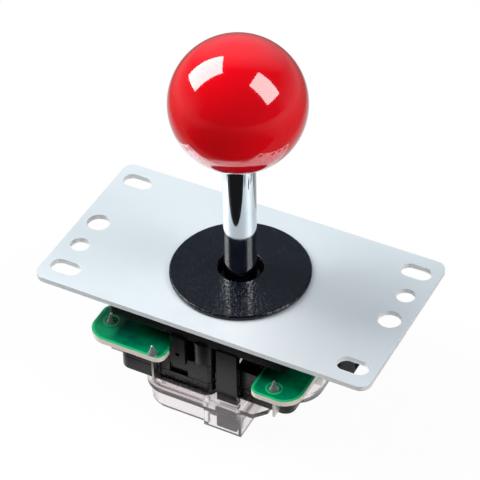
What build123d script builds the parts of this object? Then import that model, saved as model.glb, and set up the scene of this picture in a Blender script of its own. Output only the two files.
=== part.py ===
from build123d import *
import os
from math import cos, radians, sin, sqrt

os.makedirs("parts", exist_ok=True)

# Ball-top arcade joystick on a flat mounting plate, in millimetres.
# The origin is the lever axis at the top face of the plate, X runs along the
# plate, -Y is the near long side and Z points up to the ball. Depths are counted
# down from the top face of the plate.

# Mounting plate
plate_length = 96.0
plate_width = 51.5
plate_thick = 1.5
plate_corner_r = 3.0
slot_inset_x = 6.5
slot_inset_y = 6.25
slot_length = 8.6
slot_width = 5.0
side_hole_inset = 5.3
side_hole_r = 3.15
small_hole_r = 2.6
small_hole_y = 10.0
lever_hole_r = 9.0

# Countersunk screws that hold the housing under the plate
screw_r = 1.5
screw_head_r = 2.75
screw_bite = 2.7
screw_offset = 10.5
screw_hole_gap = 0.1

# Dust washer; its disc lies a little to the near side, its hole is round the shaft
washer_r = 18.7
washer_play = 1.75
washer_thick = 1.3
washer_edge = 0.35
washer_x = 0.4
washer_y = -0.8

# Ball top and its insert
ball_r = 17.5
ball_height = 54.9
ball_flat_r = 5.5
insert_r = 4.6
insert_length = 12.0
stud_r = 3.0
stud_length = 11.0

# Lever shaft, pivot ball and tilt
shaft_r = 4.35
stem_r = 3.0
stem_end = 1.6
stem_slot_width = 1.0
stem_slot_depth = 1.2
edge_chamfer = 0.4
tilt_angle = 8.0
pivot_depth = 6.0
pivot_r = 6.5
pivot_top_above = 3.6
pivot_bottom_below = 5.2
socket_gap = 0.05
stem_gap = 0.05
shoulder_gap = 0.05

# Housing
flange_thick = 3.3
flange_corner_r = 2.0
flange_step = 0.8
socket_wall_thick = 3.35
stem_swing = 1.9
socket_floor_below = 6.5
leg_left = -7.4
leg_right = -3.0
leg_drop = 3.4
leg_thick = 1.2
leg_root_thick = 2.0
leg_tip_r = 1.8
leg_hole_r = 0.6
leg_hole_drop = 5.8
post_r = 3.4
post_x = 1.5
prong_side_gap = 1.1
prong_width = 5.8
prong_thick = 2.0
prong_foot_gap = 0.5
side_prong_out = 1.5

# Circuit board
board_drop = 5.2
board_thick = 1.6
board_edge_x = 1.7
board_edge_y = 1.4
board_corner_r = 5.5
board_bore_gap = 0.6
notch_side_gap = 0.2
notch_right = 17.3
notch_post_gap = 0.45
notch_corner_r = 2.0
notch_mouth_r = 2.6
bridge_width = 3.0

# Microswitches, lying flat under the board
switch_length = 27.8
switch_depth = 15.9
switch_right = 4.8
case_thick = 6.2
cover_thick = 4.2
switch_gap = 0.55
switch_corner_r = 3.0
pocket_side_gap = 0.4
pocket_gap = 0.1
recess_reach = 4.1
recess_edge = 1.1
recess_depth = 0.4
recess_floor_above = 1.5

# Switch plungers
pin_width = 3.2
pin_height = 2.0
pin_gap = 0.1
face_wall = 1.0
head_width = 5.0
head_height = 3.4
head_length = 2.0
head_run = 1.8
touch_gap = 0.05

# Switch terminals and their solder
blade_thick = 0.6
tail_width = 0.8
foot_height = 3.0
side_tail_x = -10.9
side_tail_out = 2.8
end_tail_out = 3.4
end_tail_y = 22.9
tail_bottom_above = 2.0
blade_gap = 0.1
solder_r = 1.4
solder_tip_r = 0.5
solder_height = 2.6

# Return spring, its seat, the actuator and its clip
seat_thick = 0.8
seat_width = 2.0
coil_mean_r = 5.5
coil_wire_r = 0.5
coil_turns = 3.5
coil_gap = 0.05
crown_r = 7.9
crown_above = 2.8
crown_below = 3.7
cup_coil_gap = 0.3
cup_floor_thick = 1.0
collar_wall = 2.0
collar_cone = 2.0
collar_out = 0.2
clip_thick = 0.7
clip_step = 0.4
clip_groove = 0.75
clip_mouth = 3.6

# Clear restrictor gate
gate_height = 10.0
gate_wall = 1.0
gate_step = 0.7
gate_gap = 0.1
lobe_left = 16.5
lobe_right = 13.3
rim_round_r = 7.5
tray_round_r = 7.0
tray_step = 1.1
latch_left = 2.4
lobe_corner_r = 1.0
rim_out = 1.5
rim_height = 2.5
shelf_thick = 1.5
throat_gap = 2.9
floor_drop = 4.0
floor_thick = 2.0
stop_gap = 0.2
stop_corner_r = 2.0
web_length = 3.4
web_width = 6.3
web_cut = 3.3

# Lead connector at the right side of the board
pin_count = 5
pin_pitch = 2.5
pin_size = 0.64
pin_row_y = -4.25
socket_reach = 3.7
socket_length = 3.8
socket_width = 13.5
socket_height = 4.2
socket_above = 2.4
socket_wall = 0.7
socket_shelf_thick = 0.9
pin_above = 0.7
pin_inset = 1.6
pin_tip_back = 0.8
pin_through = 1.0

# Places that follow from the sizes above
screw_length = plate_thick + screw_bite
washer_hole_r = shaft_r + washer_play
boss_r = pivot_r + socket_gap + socket_wall_thick
socket_mouth_r = stem_r + stem_swing
seat_outer_r = socket_mouth_r + seat_width
cup_inner_r = coil_mean_r + coil_wire_r + cup_coil_gap
collar_r = stem_r + collar_wall
clip_outer_r = collar_r - clip_step
clip_groove_r = stem_r - clip_groove
throat_r = crown_r + throat_gap
flange_bottom = plate_thick + flange_thick
board_top = flange_bottom + board_drop
board_bottom = board_top + board_thick
plunger_depth = board_bottom + case_thick
switch_bottom = plunger_depth + cover_thick
gate_bottom = switch_bottom + gate_height
floor_depth = switch_bottom + floor_drop
collar_depth = floor_depth + floor_thick + collar_out
stem_depth = collar_depth + clip_thick + stem_end
leg_depth = board_bottom + leg_drop
leg_hole_depth = flange_bottom + leg_hole_drop
prong_left = switch_right + prong_side_gap
prong_right = prong_left + prong_width
web_end_x = lobe_right + web_length
web_side_x = lobe_right + web_width
press_travel = (plunger_depth - pivot_depth) * sin(radians(tilt_angle))
switch_inner = crown_r + press_travel + switch_gap
switch_outer = switch_inner + switch_depth
switch_left = switch_right - switch_length
notch_inner = switch_outer - 2 * post_r - notch_post_gap
gate_half = switch_outer + gate_step
prong_foot = gate_bottom - prong_foot_gap
side_prong_foot = switch_bottom + rim_height + side_prong_out
prong_face = gate_half - gate_wall - gate_gap
tray_half = gate_half - tray_step
web_side_y = gate_half - web_cut
flange_half_x = switch_outer
flange_half_y = switch_outer - flange_step
notch_left = leg_left - notch_side_gap
pocket_depth = leg_thick + pocket_gap
socket_r = pivot_r + socket_gap
web_bottom = pivot_depth + socket_floor_below
spring_top = web_bottom + seat_thick
cup_top = plunger_depth - crown_above
crown_bottom = plunger_depth + crown_below
cup_floor = crown_bottom - cup_floor_thick
ball_flat_height = ball_height - sqrt(ball_r**2 - ball_flat_r**2)
shoulder_depth = pivot_depth - pivot_top_above - shoulder_gap
side_tail_y = -(switch_outer + side_tail_out)
tail_face = switch_outer + side_tail_out + tail_width / 2
end_tail_x = switch_left - end_tail_out
end_tail_front = end_tail_y + blade_thick / 2
end_tail_back = end_tail_y - blade_thick / 2
tail_bottom = switch_bottom - tail_bottom_above
head_front = switch_inner + face_wall
head_end = head_front + head_run
head_back = head_end + head_length + press_travel + pin_gap
blade_left = side_tail_x - blade_thick / 2
blade_right = side_tail_x + blade_thick / 2
pocket_left = leg_left - pocket_side_gap
pocket_right = leg_right + pocket_side_gap
recess_left = leg_left - recess_reach
recess_right = switch_right - recess_edge
stop_half = (collar_depth - pivot_depth) * sin(radians(tilt_angle)) + collar_r + stop_gap

slot_pitch_x = plate_length - 2 * slot_inset_x
slot_pitch_y = plate_width - 2 * slot_inset_y
side_hole_x = plate_length / 2 - side_hole_inset
board_half_x = board_edge_x - side_tail_y
board_half_y = board_edge_y - side_tail_y
bridge_inner = board_half_x - bridge_width
socket_inner_x = board_half_x + socket_reach
socket_outer_x = socket_inner_x + socket_length
socket_top = board_top - socket_above
socket_bottom = socket_top + socket_height
pin_depth = board_top - pin_above
pin_inner_x = board_half_x - pin_inset

sides = (("front", 0), ("right", 90), ("back", 180), ("left", 270))


def side_plane(turn, depth):
    """Level plane with X along one side of the base; turn 0 is the near side."""
    angle = radians(turn)
    return Plane(origin=(0, 0, -depth), x_dir=(cos(angle), sin(angle), 0), z_dir=(0, 0, 1))


def span(left, right, outer, inner, mode=Mode.ADD):
    """Rectangle in the open sketch, from left to right and from -outer to -inner."""
    with Locations(((left + right) / 2, -(outer + inner) / 2)):
        Rectangle(right - left, outer - inner, mode=mode)


def round_lobes(outline, far_r, near_r):
    """Round the two outer corners of each lobe, the far ones first."""
    fillet(outline.vertices().sort_by_distance((0, 0))[-4:], far_r)
    fillet(outline.vertices().sort_by_distance((0, 0))[-4:], near_r)


# Mounting plate: four panel slots, two pairs of round holes and the lever hole
with BuildPart() as mounting_plate:
    with BuildSketch(Plane.XY):
        RectangleRounded(plate_length, plate_width, plate_corner_r)
        with GridLocations(slot_pitch_x, slot_pitch_y, 2, 2):
            SlotOverall(slot_length, slot_width, mode=Mode.SUBTRACT)
        with Locations((-side_hole_x, 0), (side_hole_x, 0)):
            Circle(side_hole_r, mode=Mode.SUBTRACT)
        with Locations((-side_hole_x, -small_hole_y), (side_hole_x, small_hole_y)):
            Circle(small_hole_r, mode=Mode.SUBTRACT)
        Circle(lever_hole_r, mode=Mode.SUBTRACT)
    extrude(amount=-plate_thick)
    with GridLocations(2 * screw_offset, 2 * screw_offset, 2, 2):
        CounterSinkHole(
            radius=screw_r + screw_hole_gap,
            counter_sink_radius=screw_head_r,
            counter_sink_angle=90,
        )
mounting_plate.part.label = "mounting_plate"
export_step(mounting_plate.part, "parts/mounting_plate.step")

# Countersunk screws, flush with the plate
with BuildPart() as plate_screws:
    with BuildSketch(Plane.XY.offset(-screw_length)):
        with GridLocations(2 * screw_offset, 2 * screw_offset, 2, 2):
            Circle(screw_r)
    extrude(amount=screw_length)
    with GridLocations(2 * screw_offset, 2 * screw_offset, 2, 2):
        Cone(
            bottom_radius=screw_r,
            top_radius=screw_head_r,
            height=screw_head_r - screw_r,
            align=(Align.CENTER, Align.CENTER, Align.MAX),
        )
plate_screws.part.label = "plate_screws"
export_step(plate_screws.part, "parts/plate_screws.step")

# Housing: flange, ball socket, and a leg, a post and a prong on each side
with BuildPart() as housing:
    with BuildSketch(Plane.XY.offset(-flange_bottom)):
        RectangleRounded(2 * flange_half_x, 2 * flange_half_y, flange_corner_r)
    extrude(amount=flange_thick)
    with BuildSketch(Plane.XY.offset(-web_bottom)):
        Circle(boss_r)
    extrude(amount=web_bottom - plate_thick)
    with BuildSketch(Plane.XY.offset(-board_top)):
        with PolarLocations(0, 4):
            span(leg_left, leg_right, switch_outer, switch_outer - leg_root_thick)
    extrude(amount=board_top - flange_bottom)
    with BuildSketch(Plane.XY.offset(-leg_depth)) as leg_outline:
        with PolarLocations(0, 4):
            span(leg_left, leg_right, switch_outer, switch_outer - leg_thick)
    extrude(amount=leg_depth - flange_bottom)
    leg_tips = housing.edges().group_by(Axis.Z)[0].filter_by(
        lambda edge: abs(edge.length - leg_thick) < leg_thick / 10
    )
    fillet(leg_tips, leg_tip_r)
    with BuildSketch(Plane.XY.offset(-board_bottom)):
        with PolarLocations(0, 4):
            with Locations((post_x, post_r - switch_outer)):
                Circle(post_r)
    extrude(amount=board_bottom - flange_bottom)
    for start, foot in ((0, prong_foot), (90, side_prong_foot)):
        with BuildSketch(Plane.XY.offset(-foot)):
            with PolarLocations(0, 2, start_angle=start):
                span(prong_left, prong_right, prong_face, prong_face - prong_thick)
        extrude(amount=foot - flange_bottom)
    for side, turn in sides:
        angle = radians(turn)
        leg_wall = Plane(
            origin=(0, 0, -leg_hole_depth),
            x_dir=(cos(angle), sin(angle), 0),
            z_dir=(sin(angle), -cos(angle), 0),
        )
        with BuildSketch(leg_wall.offset(switch_outer)):
            with Locations(((leg_left + leg_right) / 2, 0)):
                Circle(leg_hole_r)
        extrude(amount=-leg_root_thick, mode=Mode.SUBTRACT)
    with Locations((0, 0, -pivot_depth)):
        Sphere(socket_r, mode=Mode.SUBTRACT)
    with BuildSketch(Plane.XY.offset(-pivot_depth)):
        Circle(socket_r)
    extrude(amount=pivot_depth - plate_thick, mode=Mode.SUBTRACT)
    with BuildSketch(Plane.XY.offset(-web_bottom)):
        Circle(socket_mouth_r)
    extrude(amount=web_bottom - pivot_depth, mode=Mode.SUBTRACT)
    with BuildSketch(Plane.XY.offset(-screw_length)):
        with GridLocations(2 * screw_offset, 2 * screw_offset, 2, 2):
            Circle(screw_r)
    extrude(amount=screw_length - plate_thick, mode=Mode.SUBTRACT)
housing.part.label = "housing"
export_step(housing.part, "parts/housing.step")

# Dust washer
with BuildPart() as dust_washer:
    with BuildSketch(Plane.XY):
        with Locations((washer_x, washer_y)):
            Circle(washer_r)
        Circle(washer_hole_r, mode=Mode.SUBTRACT)
    extrude(amount=washer_thick)
    chamfer(dust_washer.edges().group_by(Axis.Z)[-1], washer_edge)
dust_washer.part.label = "dust_washer"
export_step(dust_washer.part, "parts/dust_washer.step")

# Ball top with the bore for its insert
with BuildPart() as ball_top:
    with Locations((0, 0, ball_height)):
        Sphere(ball_r)
    split(bisect_by=Plane.XY.offset(ball_flat_height), keep=Keep.TOP)
    with BuildSketch(Plane.XY.offset(ball_flat_height)):
        Circle(insert_r)
    extrude(amount=insert_length, mode=Mode.SUBTRACT)
ball_top.part.label = "ball_top"
export_step(ball_top.part, "parts/ball_top.step")

with BuildPart() as ball_insert:
    with BuildSketch(Plane.XY.offset(ball_flat_height)):
        Circle(insert_r)
    extrude(amount=insert_length)
    with BuildSketch(Plane.XY.offset(ball_flat_height)):
        Circle(stud_r)
    extrude(amount=stud_length, mode=Mode.SUBTRACT)
ball_insert.part.label = "ball_insert"
export_step(ball_insert.part, "parts/ball_insert.step")

# Lever shaft: stud, polished shaft, thin stem with the clip groove and a driver slot
with BuildPart() as lever_shaft:
    with BuildSketch(Plane.XY.offset(-stem_depth)):
        Circle(stem_r)
    extrude(amount=stem_depth - shoulder_depth)
    chamfer(lever_shaft.edges().group_by(Axis.Z)[0], edge_chamfer)
    with BuildSketch(Plane.XY.offset(-shoulder_depth)):
        Circle(shaft_r)
    extrude(amount=shoulder_depth + ball_flat_height)
    with BuildSketch(Plane.XY.offset(ball_flat_height)):
        Circle(stud_r)
    extrude(amount=stud_length)
    chamfer(lever_shaft.edges().group_by(Axis.Z)[-1], edge_chamfer)
    with BuildSketch(Plane.XY.offset(-collar_depth - clip_thick)):
        Circle(stem_r)
        Circle(clip_groove_r, mode=Mode.SUBTRACT)
    extrude(amount=clip_thick, mode=Mode.SUBTRACT)
    with BuildSketch(Plane.XY.offset(-stem_depth)):
        Rectangle(2 * stem_r, stem_slot_width)
    extrude(amount=stem_slot_depth, mode=Mode.SUBTRACT)
lever_shaft.part.label = "lever_shaft"
export_step(lever_shaft.part, "parts/lever_shaft.step")

# Pivot ball: a sphere with two flats and a bore that turns on the stem
with BuildPart() as pivot_ball:
    with Locations((0, 0, -pivot_depth)):
        Sphere(pivot_r)
    split(bisect_by=Plane.XY.offset(pivot_top_above - pivot_depth), keep=Keep.BOTTOM)
    split(bisect_by=Plane.XY.offset(-pivot_bottom_below - pivot_depth), keep=Keep.TOP)
    with Locations((0, 0, pivot_top_above - pivot_depth)):
        Hole(stem_r + stem_gap)
pivot_ball.part.label = "pivot_ball"
export_step(pivot_ball.part, "parts/pivot_ball.step")

# Upper spring seat under the socket
with BuildPart() as spring_seat:
    with BuildSketch(Plane.XY.offset(-spring_top)):
        Circle(seat_outer_r)
        Circle(socket_mouth_r, mode=Mode.SUBTRACT)
    extrude(amount=seat_thick)
spring_seat.part.label = "spring_seat"
export_step(spring_seat.part, "parts/spring_seat.step")

# Return spring between the seat and the floor of the actuator cup
coil_height = cup_floor - spring_top - 2 * (coil_wire_r + coil_gap)
with BuildPart() as return_spring:
    with BuildLine() as coil_path:
        Helix(
            pitch=coil_height / coil_turns,
            height=coil_height,
            radius=coil_mean_r,
            center=(0, 0, coil_wire_r + coil_gap - cup_floor),
        )
    with BuildSketch(Plane(origin=coil_path.line @ 0, z_dir=coil_path.line % 0)):
        RegularPolygon(coil_wire_r, 8)
    sweep()
return_spring.part.label = "return_spring"
export_step(return_spring.part, "parts/return_spring.step")

# Actuator: a cup whose crowned rim presses the switches, and the collar that meets the gate
with BuildPart() as actuator:
    with BuildSketch(Plane.XZ):
        with BuildLine():
            top_r = sqrt(crown_r**2 - crown_above**2)
            bottom_r = sqrt(crown_r**2 - crown_below**2)
            bore_r = stem_r + stem_gap
            ThreePointArc((top_r, -cup_top), (crown_r, -plunger_depth), (bottom_r, -crown_bottom))
            Polyline(
                (bottom_r, -crown_bottom),
                (collar_r, -crown_bottom - collar_cone),
                (collar_r, -collar_depth),
                (bore_r, -collar_depth),
                (bore_r, -cup_floor),
                (cup_inner_r, -cup_floor),
                (cup_inner_r, -cup_top),
                (top_r, -cup_top),
            )
        make_face()
    revolve(axis=Axis.Z)
actuator.part.label = "actuator"
export_step(actuator.part, "parts/actuator.step")

# Retaining clip in the groove under the collar
with BuildPart() as retaining_clip:
    with BuildSketch(Plane.XY.offset(-collar_depth - clip_thick)):
        Circle(clip_outer_r)
        Circle(clip_groove_r, mode=Mode.SUBTRACT)
        with Locations((clip_outer_r, 0)):
            Rectangle(2 * clip_outer_r, clip_mouth, mode=Mode.SUBTRACT)
    extrude(amount=clip_thick)
retaining_clip.part.label = "retaining_clip"
export_step(retaining_clip.part, "parts/retaining_clip.step")

# Circuit board with a notch on each side; a bridge closes the right one for the connector
with BuildPart() as circuit_board:
    with BuildSketch(Plane.XY.offset(-board_bottom)) as board_outline:
        Rectangle(2 * board_half_x, 2 * board_half_y)
        with PolarLocations(0, 4):
            span(notch_left, notch_right, 2 * board_half_x, notch_inner, Mode.SUBTRACT)
        outer = board_outline.vertices().sort_by_distance((0, 0))[-4:]
        fillet(outer, board_corner_r)
        inner = board_outline.vertices().sort_by_distance((0, 0))[:8]
        fillet(inner, notch_corner_r)
        mouths = board_outline.vertices().sort_by_distance((0, 0))[-16:-8]
        fillet(mouths, notch_mouth_r)
        with Locations(((bridge_inner + board_half_x) / 2, 0)):
            Rectangle(board_half_x - bridge_inner, 2 * notch_right)
        Circle(boss_r + board_bore_gap, mode=Mode.SUBTRACT)
        with PolarLocations(0, 4):
            with Locations((side_tail_x, side_tail_y)):
                Rectangle(blade_thick + 2 * blade_gap, tail_width + 2 * blade_gap, mode=Mode.SUBTRACT)
            with Locations((end_tail_x, -end_tail_y)):
                Rectangle(tail_width + 2 * blade_gap, blade_thick + 2 * blade_gap, mode=Mode.SUBTRACT)
        with Locations((pin_inner_x + pin_size / 2, pin_row_y)):
            with GridLocations(0, pin_pitch, 1, pin_count):
                Rectangle(pin_size + 2 * blade_gap, pin_size + 2 * blade_gap, mode=Mode.SUBTRACT)
    extrude(amount=board_thick)
circuit_board.part.label = "circuit_board"
export_step(circuit_board.part, "parts/circuit_board.step")

# Solder cones over the terminal tails
with BuildPart() as solder_joints:
    with PolarLocations(0, 4):
        with Locations((side_tail_x, side_tail_y, -board_top), (end_tail_x, -end_tail_y, -board_top)):
            Cone(
                bottom_radius=solder_r,
                top_radius=solder_tip_r,
                height=solder_height,
                align=(Align.CENTER, Align.CENTER, Align.MIN),
            )
solder_joints.part.label = "solder_joints"
export_step(solder_joints.part, "parts/solder_joints.step")

# Four microswitches: case above the plunger, cover below it, plunger and two terminals
for side, turn in sides:
    with BuildPart() as switch_case:
        with BuildSketch(side_plane(turn, plunger_depth)) as case_outline:
            span(switch_left, switch_right, switch_outer, switch_inner)
            fillet(case_outline.vertices().group_by(Axis.Y)[0], switch_corner_r)
            span(pocket_left, pocket_right, switch_outer, switch_outer - pocket_depth, Mode.SUBTRACT)
            span(recess_left, recess_right, switch_outer, switch_outer - recess_depth, Mode.SUBTRACT)
        extrude(amount=case_thick)
        with BuildSketch(side_plane(turn, plunger_depth)):
            span(-pin_width / 2 - pin_gap, pin_width / 2 + pin_gap, head_back, switch_inner)
        extrude(amount=pin_height / 2 + pin_gap, mode=Mode.SUBTRACT)
        with BuildSketch(side_plane(turn, plunger_depth)):
            span(-head_width / 2 - pin_gap, head_width / 2 + pin_gap, head_back, head_front)
        extrude(amount=head_height / 2 + pin_gap, mode=Mode.SUBTRACT)
    switch_case.part.label = f"switch_case_{side}"
    export_step(switch_case.part, f"parts/switch_case_{side}.step")

    with BuildPart() as switch_cover:
        with BuildSketch(side_plane(turn, switch_bottom)) as cover_outline:
            span(switch_left, switch_right, switch_outer, switch_inner)
            fillet(cover_outline.vertices().group_by(Axis.Y)[0], switch_corner_r)
        extrude(amount=cover_thick)
        with BuildSketch(side_plane(turn, plunger_depth)):
            span(recess_left, recess_right, switch_outer, switch_outer - recess_depth)
        extrude(amount=-(cover_thick - recess_floor_above), mode=Mode.SUBTRACT)
        with BuildSketch(side_plane(turn, plunger_depth)):
            span(-pin_width / 2 - pin_gap, pin_width / 2 + pin_gap, head_back, switch_inner)
        extrude(amount=-(pin_height / 2 + pin_gap), mode=Mode.SUBTRACT)
        with BuildSketch(side_plane(turn, plunger_depth)):
            span(-head_width / 2 - pin_gap, head_width / 2 + pin_gap, head_back, head_front)
        extrude(amount=-(head_height / 2 + pin_gap), mode=Mode.SUBTRACT)
    switch_cover.part.label = f"switch_cover_{side}"
    export_step(switch_cover.part, f"parts/switch_cover_{side}.step")

    with BuildPart() as plunger:
        with BuildSketch(side_plane(turn, plunger_depth)):
            span(-pin_width / 2, pin_width / 2, head_end, crown_r + touch_gap)
        extrude(amount=pin_height / 2, both=True)
        with BuildSketch(side_plane(turn, plunger_depth)):
            span(-head_width / 2, head_width / 2, head_end + head_length, head_end)
        extrude(amount=head_height / 2, both=True)
    plunger.part.label = f"plunger_{side}"
    export_step(plunger.part, f"parts/plunger_{side}.step")

    with BuildPart() as terminals:
        with BuildSketch(side_plane(turn, tail_bottom)):
            span(blade_left, blade_right, tail_face, tail_face - tail_width)
            span(end_tail_x - tail_width / 2, end_tail_x + tail_width / 2, end_tail_front, end_tail_back)
        extrude(amount=tail_bottom - board_top)
        with BuildSketch(side_plane(turn, tail_bottom)):
            span(blade_left, blade_right, tail_face, switch_outer)
            span(end_tail_x - tail_width / 2, switch_left, end_tail_front, end_tail_back)
        extrude(amount=foot_height)
    terminals.part.label = f"terminals_{side}"
    export_step(terminals.part, f"parts/terminals_{side}.step")

# Clear gate: a rim of four lobes under the switches, and a deep tray at the near and far
# sides with the square stop for the collar and a latch block round each long prong
with BuildPart() as gate:
    with BuildSketch(Plane.XY.offset(-switch_bottom - rim_height)) as rim_outline:
        with PolarLocations(0, 4):
            span(-lobe_left, lobe_right, gate_half + rim_out, 0)
        round_lobes(rim_outline, rim_round_r, lobe_corner_r)
    extrude(amount=rim_height)
    with BuildSketch(Plane.XY.offset(-switch_bottom - rim_height)) as rim_hollow:
        with PolarLocations(0, 4):
            span(gate_wall - lobe_left, lobe_right - gate_wall, gate_half - gate_wall, 0)
        round_lobes(rim_hollow, rim_round_r - gate_wall, lobe_corner_r / 2)
    extrude(amount=rim_height - shelf_thick, mode=Mode.SUBTRACT)
    with BuildSketch(Plane.XY.offset(-switch_bottom - shelf_thick)):
        with PolarLocations(0, 4):
            with BuildLine():
                Polyline(
                    (lobe_right - gate_wall, -gate_half),
                    (web_end_x, -gate_half),
                    (web_side_x, -web_side_y),
                    (web_side_x, -lobe_left + gate_wall),
                    (lobe_right - gate_wall, -lobe_left + gate_wall),
                    close=True,
                )
            make_face()
    extrude(amount=shelf_thick)
    with BuildSketch(Plane.XY.offset(-gate_bottom)) as tray_outline:
        with PolarLocations(0, 2):
            span(-lobe_left, lobe_right, tray_half, 0)
        fillet(tray_outline.vertices().sort_by_distance((0, 0))[-2:], tray_round_r)
        with PolarLocations(0, 2):
            span(latch_left, lobe_right, gate_half, 0)
    extrude(amount=gate_height - shelf_thick)
    for top, bottom in (
        (switch_bottom + shelf_thick, floor_depth),
        (floor_depth + floor_thick, gate_bottom),
    ):
        with BuildSketch(Plane.XY.offset(-bottom)) as tray_hollow:
            with PolarLocations(0, 2):
                span(gate_wall - lobe_left, lobe_right - gate_wall, tray_half - gate_wall, gate_wall)
            fillet(tray_hollow.vertices().sort_by_distance((0, 0))[-2:], tray_round_r - gate_wall)
            with PolarLocations(0, 2):
                span(gate_wall - lobe_right, lobe_right - gate_wall, gate_wall, 0)
                span(latch_left + gate_wall, lobe_right - gate_wall, gate_half - gate_wall, 0)
        extrude(amount=bottom - top, mode=Mode.SUBTRACT)
    with BuildSketch(Plane.XY.offset(-floor_depth)):
        Circle(throat_r)
    extrude(amount=floor_depth - switch_bottom, mode=Mode.SUBTRACT)
    with BuildSketch(Plane.XY.offset(-floor_depth - floor_thick)):
        RectangleRounded(2 * stop_half, 2 * stop_half, stop_corner_r)
    extrude(amount=floor_thick, mode=Mode.SUBTRACT)
    with BuildSketch(Plane.XY.offset(-floor_depth - floor_thick)):
        with PolarLocations(0, 4):
            span(
                prong_left - gate_gap,
                prong_right + gate_gap,
                prong_face + gate_gap,
                prong_face - prong_thick - gate_gap,
            )
    extrude(amount=floor_depth + floor_thick - switch_bottom, mode=Mode.SUBTRACT)
gate.part.label = "gate"
export_step(gate.part, "parts/gate.step")

# Connector housing, open to the right, with a shelf that meets the board edge
with BuildPart() as connector_housing:
    with BuildSketch(Plane.XY.offset(-socket_bottom)):
        with Locations(((socket_inner_x + socket_outer_x) / 2, pin_row_y)):
            Rectangle(socket_outer_x - socket_inner_x, socket_width)
    extrude(amount=socket_bottom - socket_top)
    with BuildSketch(Plane.XY.offset(-socket_bottom)):
        with Locations(((board_half_x + socket_inner_x) / 2, pin_row_y)):
            Rectangle(socket_inner_x - board_half_x, socket_width)
    extrude(amount=socket_shelf_thick)
    with BuildSketch(Plane.YZ.offset(socket_outer_x)):
        with Locations((pin_row_y, -(socket_top + socket_bottom) / 2)):
            Rectangle(socket_width - 2 * socket_wall, socket_bottom - socket_top - 2 * socket_wall)
    extrude(amount=-(socket_outer_x - socket_inner_x - socket_wall), mode=Mode.SUBTRACT)
    with BuildSketch(Plane.YZ.offset(socket_inner_x)):
        with Locations((pin_row_y, -pin_depth)):
            with GridLocations(pin_pitch, 0, pin_count, 1):
                Rectangle(pin_size, pin_size)
    extrude(amount=socket_wall, mode=Mode.SUBTRACT)
connector_housing.part.label = "connector_housing"
export_step(connector_housing.part, "parts/connector_housing.step")

# Bent pins from the board into the connector
with BuildPart() as connector_pins:
    with BuildSketch(Plane.YZ.offset(pin_inner_x)):
        with Locations((pin_row_y, -pin_depth)):
            with GridLocations(pin_pitch, 0, pin_count, 1):
                Rectangle(pin_size, pin_size)
    extrude(amount=socket_outer_x - pin_tip_back - pin_inner_x)
    with BuildSketch(Plane.XY.offset(-board_bottom - pin_through)):
        with Locations((pin_inner_x + pin_size / 2, pin_row_y)):
            with GridLocations(0, pin_pitch, 1, pin_count):
                Rectangle(pin_size, pin_size)
    extrude(amount=board_bottom + pin_through - pin_depth)
connector_pins.part.label = "connector_pins"
export_step(connector_pins.part, "parts/connector_pins.step")
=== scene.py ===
import math

import bmesh
import bpy
from bmesh.types import BMEdge, BMFace, BMVert
from mathutils import Matrix, Vector


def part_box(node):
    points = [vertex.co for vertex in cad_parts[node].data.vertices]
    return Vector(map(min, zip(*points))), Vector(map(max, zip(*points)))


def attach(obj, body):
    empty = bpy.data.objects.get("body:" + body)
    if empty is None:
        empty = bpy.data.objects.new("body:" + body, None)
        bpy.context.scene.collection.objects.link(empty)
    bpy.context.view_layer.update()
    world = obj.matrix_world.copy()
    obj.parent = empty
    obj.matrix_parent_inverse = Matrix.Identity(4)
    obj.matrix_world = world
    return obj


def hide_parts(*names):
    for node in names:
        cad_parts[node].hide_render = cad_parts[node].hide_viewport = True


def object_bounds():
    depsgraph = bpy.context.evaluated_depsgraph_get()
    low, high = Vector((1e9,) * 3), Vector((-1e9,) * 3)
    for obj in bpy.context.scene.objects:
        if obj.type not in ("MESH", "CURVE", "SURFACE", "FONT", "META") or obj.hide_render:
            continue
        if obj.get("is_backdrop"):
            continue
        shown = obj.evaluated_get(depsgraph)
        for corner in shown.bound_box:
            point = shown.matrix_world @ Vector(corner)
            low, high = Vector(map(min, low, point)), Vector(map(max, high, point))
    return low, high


bl_info = {
    "name": "Ball-top arcade joystick",
    "version": (1, 0, 0),
    "blender": (4, 5, 0),
    "location": "3D View > Sidebar > Joystick",
    "description": "Dresses the joystick's CAD frame: ball, shaft, washer, plate, housing, board, "
                   "switches and gate",
    "category": "Object",
}

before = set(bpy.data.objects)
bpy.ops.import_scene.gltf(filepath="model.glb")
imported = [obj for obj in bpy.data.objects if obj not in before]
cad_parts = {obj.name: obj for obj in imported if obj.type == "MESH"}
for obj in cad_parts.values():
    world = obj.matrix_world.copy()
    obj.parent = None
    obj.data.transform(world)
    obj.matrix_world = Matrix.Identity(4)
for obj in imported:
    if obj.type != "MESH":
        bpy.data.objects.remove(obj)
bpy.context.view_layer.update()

MM = 0.001

# Meshes: angles in radians, distances in metres
SMOOTH_ANGLE = math.radians(35)  # edges that turn more look sharp
ROUND_ANGLE = math.radians(30)   # edges of a CAD mesh that turn more are rounded
FLAT_ANGLE = math.radians(1.0)   # facets of a CAD mesh that turn less are joined
CAD_WELD = 2e-6                  # points of a CAD mesh that are nearer are joined
RING_WELD = 1e-6                 # the same where a ring closes
SPIN_WELD = 1e-7                 # the same on the axis of a turned piece
CUT_REACH = 1e-7                 # a point nearer the cut under the ball lies on it
UPWARD = 0.99                    # a face looks up when its normal's Z is above this
SHEET_FACE = 0.5                 # a sheet's face, not its cut edge, has a normal's Z above this

# Steps round a full turn
BALL_STEPS, BALL_RINGS = 192, 128
SHAFT_STEPS = 128
WASHER_STEPS = 160
LAND_STEPS = 48
SOLDER_STEPS = 32

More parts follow.
